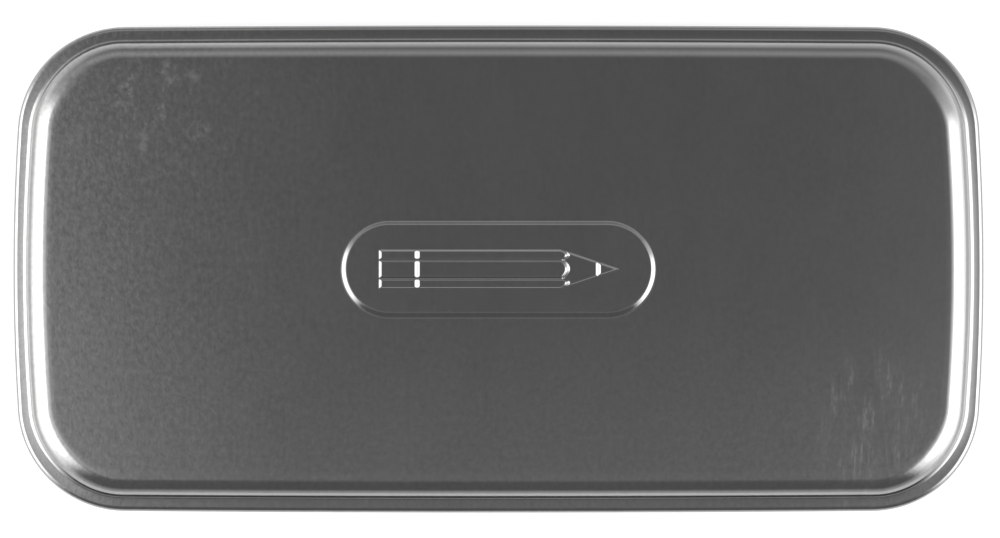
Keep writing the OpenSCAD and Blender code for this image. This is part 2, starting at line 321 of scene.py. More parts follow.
def die_depth(x, y):
    """How far inside the die's edge a point lies, in mm. It is negative outside."""
    across = abs(y)
    middle = across < mark_half / 2
    along = across / (mark_half / 2) if middle else (across - 0.75 * mark_half) / (mark_half / 4)
    lacquer_end = cone_x + TONGUE * (1 - min(along * along, 1))
    cone_side = (mark_half * min(1, (tip_end - x) / (tip_end - cone_x)) - across) * cone_slant
    if x > lacquer_end:
        return min(cone_side, x - lacquer_end - groove_half, abs(x - tip_x) - groove_half)
    facet_side = (mark_half / 2 - across if middle else across - mark_half / 2) - groove_half
    return min(cone_side, facet_side, x + tip_end, lacquer_end - x - groove_half,
               abs(x - ring_x) - groove_half)


def die_height(x, y):
    """Height of the pressed sheet over the panel, with soft shoulders, in mm."""
    t = min(max(die_depth(x, y) / SHOULDER + 0.5, 0), 1)
    return MARK_RISE * t * t * (3 - 2 * t)


print("die:", MARK_LEN, "x", MARK_WID, "mm,", die_height(0, 0), "mm high")

# %% Press the pencil into a fine grid
PATCH = (53, 9.6)           # mm
PATCH_STEP = (0.16, 0.12)   # mm
panel_top = CROWN_Z + PANEL_RISE
cells = [round(size / step) for size, step in zip(PATCH, PATCH_STEP)]
deselect_all()
bpy.ops.mesh.primitive_grid_add(x_subdivisions=cells[0], y_subdivisions=cells[1], size=MM,
                                location=(0, 0, panel_top * MM))
patch = bpy.context.object
patch.scale = (PATCH[0], PATCH[1], 1)
bpy.ops.object.transform_apply(location=True, rotation=True, scale=True)
for vertex in patch.data.vertices:
    vertex.co.z += die_height(vertex.co.x / MM, vertex.co.y / MM) * MM
print("patch:", len(patch.data.vertices), "vertices")

# %% [markdown]
# The patch becomes part of the lid: the flat gap between its border and the panel's innermost
# ring is filled. The skin then gets its thickness on the inside only, so the outside keeps its
# sizes.

# %% Open edges, and the thickness of a sheet
SHEET = 0.29           # mm, a hair less than the gauge, so that no hem lies in itself
SHARP_ANGLE = 70       # degrees, a steeper edge is shaded as a corner


def select_border():
    """Goes into edit mode and selects the active sheet's open edges."""
    bpy.ops.object.mode_set(mode="EDIT")
    bpy.ops.mesh.select_mode(type="EDGE")
    bpy.ops.mesh.select_all(action="DESELECT")
    bpy.ops.mesh.select_non_manifold(extend=False, use_wire=False, use_boundary=True,
                                     use_multi_face=False, use_non_contiguous=False,
                                     use_verts=False)


def keep_selected(mesh_object, test):
    """Keeps only the selected edges whose middle passes the test."""
    bpy.ops.object.mode_set(mode="OBJECT")
    mesh = mesh_object.data
    for edge in mesh.edges:
        if edge.select:
            middle = (mesh.vertices[edge.vertices[0]].co + mesh.vertices[edge.vertices[1]].co) / 2
            edge.select = test(middle / MM)
    chosen = {v for edge in mesh.edges if edge.select for v in edge.vertices}
    for vertex in mesh.vertices:
        vertex.select = vertex.index in chosen
    for face in mesh.polygons:
        face.select = False
    bpy.ops.object.mode_set(mode="EDIT")


def finish_sheet(sheet):
    """Turns the skin's faces outwards, gives it the sheet's thickness and shades it smooth."""
    bpy.ops.mesh.select_all(action="SELECT")
    bpy.ops.mesh.normals_make_consistent(inside=False)
    bpy.ops.object.mode_set(mode="OBJECT")
    deselect_all()
    sheet.select_set(True)
    bpy.context.view_layer.objects.active = sheet
    wall = sheet.modifiers.new("Sheet", "SOLIDIFY")
    wall.thickness = SHEET * MM
    wall.offset = -1
    wall.use_even_offset = True
    bpy.ops.object.modifier_apply(modifier=wall.name)
    bpy.ops.object.shade_smooth_by_angle(angle=math.radians(SHARP_ANGLE))


print("a sheet is", SHEET, "mm thick, and shaded smooth up to", SHARP_ANGLE, "degrees")

# %% Join the patch to the lid
deselect_all()
patch.select_set(True)
lid.select_set(True)
bpy.context.view_layer.objects.active = lid
bpy.ops.object.join()
select_border()
keep_selected(lid, lambda p: p.z > CROWN_Z)
bpy.ops.mesh.fill(use_beauty=True)
finish_sheet(lid)
print("lid:", len(lid.data.polygons), "faces")
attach(lid, "lid")
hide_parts("lid_shell")

# %% [markdown]
# ## Base
# The base is drawn the other way up from the lid. Its wall ends in a hem at the top, its
# bottom edge is rounded, and it stands on a narrow ring, because the floor inside that ring is
# pressed up to keep it from drumming.

# %% Draw the base's skin
RIM_Z = 10.7                    # mm, height of the base's rim
FOOT_R, FOOT_WID = 2.5, 3.6     # mm, rounding of the bottom edge, and width of the ring
FOOT_STEPS = 12
FLOOR_RISE, STEP_R = 0.8, 0.3   # mm, height of the raised floor, and radius of its step
FLOOR_INSETS = (12, 20)         # mm, rings on the raised floor
foot_in = FOOT_R + FOOT_WID
step_turns = [math.radians(15 * i) for i in range(7)]

base_profile = on(BASE, [(2 * GAUGE, RIM_Z - HEM_H)] + fold(RIM_Z - GAUGE, -1)
                  + hem_mark(RIM_Z - HEM_H, -1)
                  + bend((FOOT_R, FOOT_R), FOOT_R, 0, -90, FOOT_STEPS)
                  + [(foot_in - STEP_R, 0)])
base_profile += on(BASE, [(foot_in - STEP_R + STEP_R * math.sin(a), STEP_R - STEP_R * math.cos(a))
                          for a in step_turns[1:6]])
base_profile += on(BASE, [(foot_in + STEP_R - STEP_R * math.cos(a),
                           FLOOR_RISE - STEP_R + STEP_R * math.sin(a)) for a in step_turns])
base_profile += on(BASE, [(inset, FLOOR_RISE) for inset in FLOOR_INSETS])
base = draw_shell("base_pressing", base_profile)
select_border()
keep_selected(base, lambda p: p.z < FLOOR_RISE + 1)
bpy.ops.mesh.edge_face_add()
finish_sheet(base)
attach(base, "base")
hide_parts("base_shell")
print("base:", len(base.data.polygons), "faces")

# %% [markdown]
# ## Foam sheet
# A thin sheet of soft foam lies over the pencils and keeps them from rattling. It is die-cut,
# so its edge is square but a little pulled in at the middle of its thickness, and its faces are
# never quite flat: the upper one waves gently, and the pencils press shallow hollows into the
# lower one. A grid is extruded down to a slab, and its vertices are then moved by a few tenths
# of a millimetre where the real sheet gives. A cloth simulation would only hide these marks.

# %% Cut the foam sheet
FOAM_LEN, FOAM_WID, FOAM_CORNER = 195.3, 91.6, 17.1   # mm
FOAM_END_R, FOAM_SIDE_R = 390, 10200   # mm, radii of the bowed ends and sides
FOAM_Z, FOAM_T = 10.6, 2.8             # mm, height of its lower face, and its thickness
FOAM_CUTS = 140                        # cells of the grid along each side
FOAM_LAYERS = (0.2, 0.5, 0.7, 0.7, 0.5, 0.2)   # mm, from the top down


def into_outline(x, y):
    """Moves a point of a rectangle so that its corners become round and its sides bow."""
    far = max(abs(x) / (FOAM_LEN / 2), abs(y) / (FOAM_WID / 2))
    corner = FOAM_CORNER * far
    over_x = abs(x) - (FOAM_LEN / 2 * far - corner)
    over_y = abs(y) - (FOAM_WID / 2 * far - corner)
    if over_x > 0 and over_y > 0:
        pull = max(over_x, over_y) / math.hypot(over_x, over_y)
        x -= math.copysign(over_x * (1 - pull), x)
        y -= math.copysign(over_y * (1 - pull), y)
    return (x - x * y * y / (FOAM_END_R * FOAM_LEN), y - y * x * x / (FOAM_SIDE_R * FOAM_WID), far)


deselect_all()
bpy.ops.mesh.primitive_grid_add(x_subdivisions=FOAM_CUTS, y_subdivisions=FOAM_CUTS, size=MM,
                                location=(0, 0, (FOAM_Z + FOAM_T) * MM))
foam = bpy.context.object
foam.name = foam.data.name = "foam_pad"
foam.scale = (FOAM_LEN, FOAM_WID, 1)
bpy.ops.object.transform_apply(location=True, rotation=True, scale=True)
bpy.ops.object.mode_set(mode="EDIT")
bpy.ops.mesh.select_all(action="SELECT")
for depth in FOAM_LAYERS:
    bpy.ops.mesh.extrude_region_move(TRANSFORM_OT_translate={"value": (0, 0, -depth * MM)})
bpy.ops.mesh.select_all(action="SELECT")
bpy.ops.mesh.normals_make_consistent(inside=False)
bpy.ops.object.mode_set(mode="OBJECT")
print("foam slab:", len(foam.data.vertices), "vertices")

# %% [markdown]
# The waves and hollows are sums of sines, so they come out the same every time. They only take
# foam away, never add it, so the sheet stays inside the room that it has in the tin.

# %% Let the foam give
PITCH, COUNT, PENCIL_LEN = 7.9, 12, 174   # mm between pencils, how many, and mm
WAVE, HOLLOW, DROOP = 0.3, 0.25, 0.12     # mm, the most that each one takes away
FADE_FROM, FADE_OVER = 4, 5            # mm before a pencil's end, and mm that a hollow fades over
RIM_FROM = 0.96                        # share of the way out where the rim starts
PULL_MIDDLE, PULL_FACES = 0.35, 0.25   # mm that the edge is pulled in at mid-height and faces
FACE_SHARE = 0.2                       # share of the half thickness that the faces round over
FOAM_SHARP_ANGLE = 50                  # degrees


def wave(x, y):
    """Slow waves of the upper face, from 0 to 1, about 75 to 195 mm long."""
    return (0.5 + 0.3 * math.sin(x / 19 + 0.8 * math.sin(y / 14))
            + 0.2 * math.sin(y / 12 + x / 31 + 1.7))


def hollow(x, y):
    """Hollows that the pencils press into the lower face, from 0 to 1."""
    past_end = min(max((abs(x) - PENCIL_LEN / 2 + FADE_FROM) / FADE_OVER, 0), 1)
    past_side = abs(y) > COUNT * PITCH / 2
    return 0 if past_side else (0.5 - 0.5 * math.cos(2 * math.pi * y / PITCH)) * (1 - past_end)


def edge_pull(up):
    """How far the cut edge is pulled in at a height from 0 to 1 of the foam, in mm."""
    near_face = max(0, abs(2 * up - 1) - (1 - FACE_SHARE)) / FACE_SHARE
    return PULL_MIDDLE * math.sin(math.pi * up) + PULL_FACES * near_face


for vertex in foam.data.vertices:
    x, y, z = vertex.co / MM
    x, y, far = into_outline(x, y)
    up = (z - FOAM_Z) / FOAM_T
    rim = max(0, far - RIM_FROM) / (1 - RIM_FROM)
    droop = DROOP * rim ** 2
    z -= up * (WAVE * wave(x, y) + droop)
    z += (1 - up) * (HOLLOW * hollow(x, y) + droop)
    inward = 1 - rim * edge_pull(up) / math.hypot(x, y) if rim else 1
    vertex.co = Vector((x * inward, y * inward, z)) * MM
bpy.ops.object.shade_smooth_by_angle(angle=math.radians(FOAM_SHARP_ANGLE))
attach(foam, "foam")
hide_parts("foam_sheet")
print("foam:", len(foam.data.polygons), "faces")

# %% [markdown]
# ## Material helpers
# A finish is a small tree of nodes, and one function adds every node. Its inputs are given by
# name, or as a list in the order in which the node shows them: a MapRange takes a value, the
# range that it comes from and the range that it goes to, and a TexNoise takes a place, a scale,
# its detail and its roughness. Colours are written as the hex values that a colour picker shows,
# and are turned to linear light once. Patterns are laid out in millimetres on the object's own
# coordinates, so they keep their size on every piece.

# %% Colours
def linear(hex_colour):
    """An sRGB hex colour as linear RGBA."""
    values = [int(hex_colour[i:i + 2], 16) / 255 for i in (1, 3, 5)]
    return [v / 12.92 if v <= 0.04045 else ((v + 0.055) / 1.055) ** 2.4 for v in values] + [1]


print("mid grey is", round(linear("#808080")[0], 3), "in linear light")

# %% Nodes
def add_node(tree, kind, inputs=(), **settings):
    """Adds a node. An input is a number, a hex colour, a socket, or a node's first output."""
    made = tree.nodes.new("ShaderNode" + kind)
    for name, value in settings.items():
        setattr(made, name, value)
    sockets = [socket for socket in made.inputs if socket.enabled]
    if isinstance(inputs, dict):
        sockets = [next(s for s in sockets if s.name == name) for name in inputs]
        inputs = inputs.values()
    for socket, value in zip(sockets, inputs):
        if isinstance(value, bpy.types.Node):
            value = next(output for output in value.outputs if output.enabled)
        if isinstance(value, bpy.types.NodeSocket):
            tree.links.new(value, socket)
        else:
            socket.default_value = linear(value) if isinstance(value, str) else value
    return made


def millimetres(tree, x, y, z):
    """A point's place on its piece, divided by a pattern's size along each axis, in mm."""
    place = add_node(tree, "TexCoord").outputs["Object"]
    return add_node(tree, "Mapping", {"Vector": place,
                                      "Scale": (1 / (x * MM), 1 / (y * MM), 1 / (z * MM))})


# %% Materials
def make_material(name, build_shader, *details):
    """A material whose shader is made by a function of its tree and of some details."""
    material = bpy.data.materials.new(name)
    material.use_nodes = True
    tree = material.node_tree
    tree.nodes.clear()
    add_node(tree, "OutputMaterial", {"Surface": build_shader(tree, *details)})
    return material


def dress(piece, material):
    """Gives a piece its material."""
    piece.data.materials.clear()
    piece.data.materials.append(material)
    print(piece.name, "is dressed in", material.name)


# %% [markdown]
# ## Tinplate
# Tinplate is cold-rolled steel with a thin coat of tin. The rolls leave fine lines in one
# direction, here across the tin. Handling leaves faint cloudy patches, brings the grain out
# where hands hold the tin, and scuffs it where other tins slide over it, with short scratches
# across. It is a grey metal with a satin gloss: sharp enough to show the edges of a lamp on a
# bend, and soft enough to veil them on the flat. The lines and the grain are finer than a
# render shows, so they are drawn as coarse as they need to be to show.

# %% Wear on tinplate
LEAST_WORN = 0.26                # how far the grain shows where hands seldom reach
RUBBED = (-74, 34, 62, 36)       # mm, a patch's middle in X and Y, its length and its width
SCRATCHED = (79, -35, 32, 42)    # mm
WORN_X, WORN_Y = (-20, -92), (-5, -42)   # mm, where the wear starts and where it is worst


def blotch(tree, x, y, length, width):
    """1 in the middle of an ellipse on the plan, falling to 0 at its edge. Sizes are in mm."""
    reach = (length * MM / 2, width * MM / 2)
    centred = add_node(tree, "Mapping",
                       {"Vector": add_node(tree, "TexCoord").outputs["Object"],
                        "Location": (-x * MM / reach[0], -y * MM / reach[1], 0),
                        "Scale": (1 / reach[0], 1 / reach[1], 0)})
    far = add_node(tree, "VectorMath", [centred], operation="LENGTH")
    return add_node(tree, "MapRange", [far, 1, 0.2])


def worn_grain(tree):
    """The grain, which handling has brought out at the left end and along the near side."""
    place = add_node(tree, "SeparateXYZ", [add_node(tree, "TexCoord").outputs["Object"]]).outputs
    start, worst = WORN_X
    left = add_node(tree, "MapRange", [place["X"], start * MM, worst * MM, LEAST_WORN, 1])
    start, worst = WORN_Y
    near = add_node(tree, "MapRange", [place["Y"], start * MM, worst * MM, LEAST_WORN, 0.60])
    worn = add_node(tree, "Math", [left, near], operation="MAXIMUM")
    speckle = add_node(tree, "TexNoise", [millimetres(tree, 1.1, 1.4, 1.4), 1, 4, 0.75])
    grain = add_node(tree, "MapRange", [speckle, 0.3, 0.7])
    return add_node(tree, "Math", [worn, grain], operation="MULTIPLY")


def scuffs(tree):
    """Marks where fingers and other tins have touched it, with short scratches along Y."""
    rubs = add_node(tree, "TexNoise", [millimetres(tree, 3.6, 4.2, 4.2), 1, 5, 0.75])
    rubs = add_node(tree, "MapRange", [rubs, 0.54, 0.76])
    rubs = add_node(tree, "Math", [rubs, blotch(tree, *RUBBED)], operation="MULTIPLY")
    strokes = add_node(tree, "TexNoise", [millimetres(tree, 0.7, 4, 4), 1, 4, 0.7])
    strokes = add_node(tree, "MapRange", [strokes, 0.50, 0.70, 0.25, 1.4])
    haze = add_node(tree, "TexNoise", [millimetres(tree, 3, 14, 14), 1, 3, 0.6])
    haze = add_node(tree, "MapRange", [haze, 0.42, 0.58])
    strokes = add_node(tree, "Math", [strokes, haze], operation="MULTIPLY")
    return add_node(tree, "Math", [strokes, blotch(tree, *SCRATCHED), rubs],
                    operation="MULTIPLY_ADD")


print("rubbed near", RUBBED[:2], "and scratched near", SCRATCHED[:2], "mm")

# %% Tinplate
def tinplate(tree):
    lines = add_node(tree, "TexNoise", [millimetres(tree, 0.3, 6, 6), 1, 3, 0.6])
    clouds = add_node(tree, "TexNoise", [millimetres(tree, 14, 22, 22), 1, 4, 0.6])
    grain, marks = worn_grain(tree), scuffs(tree)
    colour = add_node(tree, "Mix", [add_node(tree, "MapRange", [clouds, 0.35, 0.7]),
                                    "#B4B4B4", "#BABAB9"], data_type="RGBA")
    pale = add_node(tree, "Math", [grain, 0.8], operation="MULTIPLY")
    colour = add_node(tree, "Mix", [pale, colour, "#CDCDCC"], data_type="RGBA")
    colour = add_node(tree, "Mix", [add_node(tree, "Math", [marks, 1], operation="MINIMUM"),
                                    colour, "#CECECD"], data_type="RGBA")
    rough = add_node(tree, "MapRange", [lines, 0.3, 0.7, 0.115, 0.135])
    rough = add_node(tree, "Math", [grain, 0.045, rough], operation="MULTIPLY_ADD")
    rough = add_node(tree, "Math", [marks, 0.13, rough], operation="MULTIPLY_ADD")
    normal = add_node(tree, "Bump", {"Height": lines, "Distance": 0.0006 * MM})
    normal = add_node(tree, "Bump", {"Height": grain, "Distance": 0.004 * MM, "Normal": normal})
    return add_node(tree, "BsdfPrincipled", {"Base Color": colour, "Metallic": 1.0,
                                             "Roughness": rough, "Normal": normal})


tinplate_finish = make_material("Tinplate, cold-rolled and tinned", tinplate)
dress(lid, tinplate_finish)
dress(base, tinplate_finish)

# %% [markdown]
# ## Foam
# The sheet is polyether foam, blown and then sliced with a band knife. The slice opens the
# bubbles, about half a millimetre wide, so the face is a net of tiny open cells. It looks dull
# and slightly velvety, and each cell is painted darker inside, as painted shade in its pit.
# The cells are drawn a little wide, so that they show.

# %% Sliced foam
CELL = 0.7   # mm


def sliced_foam(tree):
    cells = add_node(tree, "TexVoronoi", {"Vector": millimetres(tree, CELL, CELL, CELL),
                                          "Scale": 1, "Randomness": 1})
    pits = add_node(tree, "MapRange", [cells, 0.55, 0.15])
    density = add_node(tree, "TexNoise", [millimetres(tree, 6, 6, 6), 1, 3, 0.6])
    lumps = add_node(tree, "TexNoise", [millimetres(tree, 2.2, 2.2, 2.2), 1, 3])
    face = add_node(tree, "Mix", [add_node(tree, "MapRange", [density, 0.3, 0.7]),
                                  "#D4D3CF", "#DEDDDA"], data_type="RGBA")
    # painted shade: the pit of each cell is painted darker, towards #A9A7A2
    painted_pit_shade = add_node(tree, "Math", [pits, 0.4], operation="MULTIPLY")
    colour = add_node(tree, "Mix", [painted_pit_shade, face, "#A9A7A2"], data_type="RGBA")
    depth = add_node(tree, "Math", [pits, -1], operation="MULTIPLY")
    normal = add_node(tree, "Bump", {"Height": depth, "Distance": 0.18 * MM})
    normal = add_node(tree, "Bump", {"Height": lumps, "Distance": 0.08 * MM, "Normal": normal})
    return add_node(tree, "BsdfPrincipled",
                    {"Base Color": colour, "Roughness": 0.95, "IOR": 1.35, "Sheen Weight": 0.15,
                     "Sheen Roughness": 0.6, "Normal": normal})


dress(foam, make_material("Polyether foam, sliced", sliced_foam))

# %% [markdown]
# ## Tray
# The tray is a sheet of high-impact polystyrene, heated and drawn by a vacuum over a mould. It
# is an even off-white with a soft satin gloss. The mould's blasted face leaves a fine grain,
# the pencils rub the grooves a little duller and leave some wax-bound pigment near their
# points, and the sheet's colour is made a little darker and yellower towards the bottom.

# %% Thermoformed tray
TRAY_LAND, TRAY_DEEP = 8.2, 1.2   # mm, heights of the land round the pencils and the lowest part
POINTS_X = (62, 84)               # mm, where the pigment starts and where it is thickest
SMUDGE_Z = (6.2, 3.6)             # mm


def pencil_dust(tree, place):
    """Pigment in the grooves near the pencils' points."""
    dust = add_node(tree, "TexNoise", [millimetres(tree, 5, 2, 3), 1, 5, 0.65])
    dust = add_node(tree, "MapRange", [dust, 0.45, 0.7, 0, 0.3])
    for axis, ends in (("X", POINTS_X), ("Z", SMUDGE_Z)):
        near = add_node(tree, "MapRange", [place[axis], ends[0] * MM, ends[1] * MM])
        dust = add_node(tree, "Math", [dust, near], operation="MULTIPLY")
    return dust


def thermoformed_sheet(tree):
    place = add_node(tree, "SeparateXYZ", [add_node(tree, "TexCoord").outputs["Object"]]).outputs
    # from the land down to the lowest part, the colour is made darker and yellower and the finish a
    # little rougher
    towards_bottom = add_node(tree, "MapRange", [place["Z"], TRAY_LAND * MM, TRAY_DEEP * MM])
    tone = add_node(tree, "Mix", [towards_bottom, "#EDECE8", "#E4E2DA"], data_type="RGBA")
    colour = add_node(tree, "Mix", [pencil_dust(tree, place), tone, "#8E8288"], data_type="RGBA")
    rubbed = add_node(tree, "TexNoise", [millimetres(tree, 14, 0.5, 0.5), 1, 4, 0.6])
    rough = add_node(tree, "MapRange", [rubbed, 0.45, 0.75, 0.32, 0.46])
    rough = add_node(tree, "Math", [towards_bottom, 0.05, rough], operation="MULTIPLY_ADD")
    grain = add_node(tree, "TexNoise", [millimetres(tree, 0.35, 0.35, 0.35), 1, 2])
    drift = add_node(tree, "TexNoise", [millimetres(tree, 9, 9, 9), 1, 1])
    normal = add_node(tree, "Bump", {"Height": grain, "Distance": 0.006 * MM})
    normal = add_node(tree, "Bump", {"Height": drift, "Distance": 0.03 * MM, "Normal": normal})
    return add_node(tree, "BsdfPrincipled", {"Base Color": colour, "Roughness": rough,
                                             "IOR": 1.59, "Normal": normal})


dress(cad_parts["pencil_tray"],
      make_material("Polystyrene sheet, thermoformed", thermoformed_sheet))

# %% [markdown]
# ## Pencils
# A casing is two slats of incense cedar, glued round the core, milled to a hexagon and dipped
# in several coats of coloured lacquer. Sharpening cuts through the lacquer and bares the wood,
# with its fine grain along the pencil, and the butt is sawn off bare. The lacquer is glossy and
# a little wavy, thinner on the corners, and two rings of silver foil are rolled on near the butt.
# Only the sharpened cone faces a little towards the point, and only the sawn butt faces straight
# back, so the shader tells bare wood from lacquer by the way that a face looks.

# %% Places on a pencil
AXIS_Z = 6.8                       # mm above the surface that the tin stands on
HALF_PENCIL = PENCIL_LEN / 2       # mm
FOIL_RINGS = ((8, 1), (10, 0.5))   # mm from the butt to a ring's middle, and its width
RAGGED = 0.03                      # mm either side of a ring's edge over which it ends


def along_pencil(tree, row):
    """X along a pencil and the distance from its axis, in metres."""
    centred = add_node(tree, "Mapping",
                       {"Vector": add_node(tree, "TexCoord").outputs["Object"],
                        "Location": (0, -(row - (COUNT - 1) / 2) * PITCH * MM, -AXIS_Z * MM)})
    across = add_node(tree, "VectorMath", [centred, (0, 1, 1)], operation="MULTIPLY")
    radius = add_node(tree, "VectorMath", [across], operation="LENGTH")
    return add_node(tree, "SeparateXYZ", [centred]).outputs["X"], radius


def bare_wood(tree):
    """1 on the sharpened cone and the sawn butt, and 0 on the lacquered sides."""
    looks = add_node(tree, "NewGeometry").outputs["True Normal"]
    looks_along = add_node(tree, "SeparateXYZ", [looks]).outputs["X"]
    cone = add_node(tree, "Math", [looks_along, 0.1], operation="GREATER_THAN")
    butt = add_node(tree, "Math", [looks_along, -0.9], operation="LESS_THAN")
    return add_node(tree, "Math", [cone, butt], operation="MAXIMUM")


def foil_rings(tree, along):
    """1 on the rings of foil and 0 off them and where the foil has worn off."""
    wear = add_node(tree, "TexNoise", [millimetres(tree, 0.8, 0.8, 0.8), 1, 4, 0.7])
    rings = 0
    for from_butt, width in FOIL_RINGS:
        off = add_node(tree, "Math", [along, (from_butt - HALF_PENCIL) * MM], operation="SUBTRACT")
        off = add_node(tree, "Math", [off], operation="ABSOLUTE")
        ring = add_node(tree, "MapRange", [off, (width / 2 - RAGGED) * MM,
                                           (width / 2 + RAGGED) * MM, 1, 0])
        rings = add_node(tree, "Math", [rings, ring], operation="MAXIMUM")
    whole = add_node(tree, "MapRange", [wear, 0.66, 0.70, 1, 0])
    return add_node(tree, "Math", [rings, whole], operation="MULTIPLY")


print("a pencil's axis is", AXIS_Z, "mm up, and its butt is at X", -HALF_PENCIL, "mm")

# %% Lacquered cedar
COLOURS = {"yellow": "#F2C230", "orange": "#F08A1D", "vermilion": "#E4572E",
           "crimson": "#C21F3A", "pink": "#E0609A", "violet": "#6A3D8F", "blue": "#2E5FA8",
           "sky blue": "#3AA6D8", "green": "#1F8A5A", "light green": "#8DB43A",
           "brown": "#8A5230", "black": "#3C3D40"}
THIN, POOLED = 0.25, -0.2   # how much paler lacquer is on a corner, and darker where it pooled
CORNER_FROM, CORNER_TO = 3.7, 3.885   # mm from the axis, over which it thins at a corner


def toned(hex_colour, share):
    """The colour moved towards white by a share, or towards black where share is below 0."""
    values = [int(hex_colour[i:i + 2], 16) for i in (1, 3, 5)]
    goal = 255 if share > 0 else 0
    return "#" + "".join(f"{round(v + (goal - v) * abs(share)):02X}" for v in values)


def cedar_colour(tree):
    """Straight-grained cedar: dark late-wood lines along X and fine pores."""
    rings = add_node(tree, "TexNoise", [millimetres(tree, 26, 0.5, 0.5), 1, 3, 0.6])
    late = add_node(tree, "MapRange", [rings, 0.35, 0.65])
    wood = add_node(tree, "Mix", [late, "#D9AC7C", "#B77B4B"], data_type="RGBA")
    pores = add_node(tree, "TexNoise", [millimetres(tree, 3.5, 0.16, 0.16), 1])
    pores = add_node(tree, "MapRange", [pores, 0.55, 0.75, 0, 0.45])
    return add_node(tree, "Mix", [pores, wood, "#8F5A35"], data_type="RGBA")


def lacquered_cedar(tree, colour, row):
    along, radius = along_pencil(tree, row)
    bare, foil = bare_wood(tree), foil_rings(tree, along)
    corner = add_node(tree, "MapRange", [radius, CORNER_FROM * MM, CORNER_TO * MM, 0, 0.35])
    skin = add_node(tree, "Mix", [corner, colour, toned(colour, THIN)], data_type="RGBA")
    flow = add_node(tree, "TexNoise", [millimetres(tree, 18, 2.5, 2.5), 1, 2])
    flow = add_node(tree, "MapRange", [flow, 0.35, 0.7, 0, 0.3])
    skin = add_node(tree, "Mix", [flow, skin, toned(colour, POOLED)], data_type="RGBA")
    skin = add_node(tree, "Mix", [foil, skin, "#C9C9C7"], data_type="RGBA")
    skin = add_node(tree, "Mix", [bare, skin, cedar_colour(tree)], data_type="RGBA")
    scuffed = add_node(tree, "TexNoise", [millimetres(tree, 9, 0.35, 0.35), 1, 4, 0.65])
    gloss = add_node(tree, "MapRange", [scuffed, 0.5, 0.75, 0.16, 0.34])
    waves = add_node(tree, "TexNoise", [millimetres(tree, 7, 1.6, 1.6), 1, 1])
    covered = add_node(tree, "Math", [1, bare], operation="SUBTRACT")
    waves = add_node(tree, "Math", [waves, covered], operation="MULTIPLY")
    fibres = add_node(tree, "TexNoise", [millimetres(tree, 4, 0.12, 0.12), 1, 3])
    fibres = add_node(tree, "Math", [fibres, bare], operation="MULTIPLY")
    normal = add_node(tree, "Bump", {"Height": waves, "Distance": 0.02 * MM})
    normal = add_node(tree, "Bump", {"Height": fibres, "Distance": 0.03 * MM, "Normal": normal})
    normal = add_node(tree, "Bump", {"Height": foil, "Distance": 0.006 * MM, "Normal": normal})
    return add_node(tree, "BsdfPrincipled",
                    {"Base Color": skin, "Metallic": foil, "IOR": 1.5, "Normal": normal,
                     "Roughness": add_node(tree, "Mix", [bare, gloss, 0.62])})


print("lacquers:", ", ".join(COLOURS))

# %% [markdown]
# ## Cores
# A core is pigment, chalk and wax, pressed through a die and soaked in more wax. It is as dark
# and full as its lacquer, nearly matt, with a waxy shine where the sharpener's blade has
# smeared it, and the blade leaves fine rings round the cone.

# %% Wax-bound core
CORE_TONES = (-0.2, -0.08)   # how much darker than its lacquer a core is, at most and at least


def pigment_core(tree, colour):
    body = add_node(tree, "TexNoise", [millimetres(tree, 0.35, 0.35, 0.35), 1, 3, 0.6])
    dark, pale = (toned(colour, tone) for tone in CORE_TONES)
    mottled = add_node(tree, "Mix", [add_node(tree, "MapRange", [body, 0.35, 0.7]), dark, pale],
                       data_type="RGBA")
    smear = add_node(tree, "TexNoise", [millimetres(tree, 0.5, 1.6, 1.6), 1, 3])
    rough = add_node(tree, "MapRange", [smear, 0.4, 0.65, 0.36, 0.62])
    blade = add_node(tree, "TexNoise", [millimetres(tree, 0.12, 6, 6), 1, 2])
    normal = add_node(tree, "Bump", {"Height": blade, "Distance": 0.012 * MM})
    normal = add_node(tree, "Bump", {"Height": body, "Distance": 0.02 * MM, "Normal": normal})
    return add_node(tree, "BsdfPrincipled",
                    {"Base Color": mottled, "Roughness": rough, "IOR": 1.45,
                     "Subsurface Weight": 0.08, "Subsurface Scale": 0.6 * MM, "Normal": normal})


print("tones of the crimson core:", *(toned(COLOURS["crimson"], tone) for tone in CORE_TONES))

# %% Dress the pencils
for row, (colour_name, colour) in enumerate(COLOURS.items()):
    pencil = f"pencil_{row + 1:02d}"
    dress(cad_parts[pencil + "_casing"],
          make_material("Cedar, lacquered " + colour_name, lacquered_cedar, colour, row))
    dress(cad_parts[pencil + "_core"],
          make_material("Wax-bound pigment, " + colour_name, pigment_core, colour))

# %% [markdown]
# ## Floor, lamps and surroundings
# The floor is a plain pale sweep that looks white to the camera. Two wide soft boxes stand left
# and right, and the air above is dim, as in a studio where the camera looks down through a dark
# ceiling. Metal shows its surroundings more than itself, so their brightness by direction
# matters as much as the finish.

# %% Floor
FLOOR_SIZE = 8         # m
FLOOR_GLOW = 0.6       # added for the camera to the light that the floor returns
GLOW_IN_METAL = 0.3    # share of that glow that metal and gloss show


def white_paper(tree):
    path = add_node(tree, "LightPath").outputs
    seen = add_node(tree, "Math", [path["Is Glossy Ray"], GLOW_IN_METAL], operation="MULTIPLY")
    for ray in ("Is Transmission Ray", "Is Camera Ray"):
        seen = add_node(tree, "Math", [seen, path[ray]], operation="MAXIMUM")
    glow = add_node(tree, "Math", [seen, FLOOR_GLOW], operation="MULTIPLY")
    return add_node(tree, "AddShader", [add_node(tree, "BsdfDiffuse", ["#C8C8C8"]),
                                        add_node(tree, "Emission", ["#FFFFFF", glow])])


deselect_all()
bpy.ops.mesh.primitive_plane_add(size=FLOOR_SIZE)
floor = bpy.context.object
floor.name = "floor"
dress(floor, make_material("White paper sweep", white_paper))

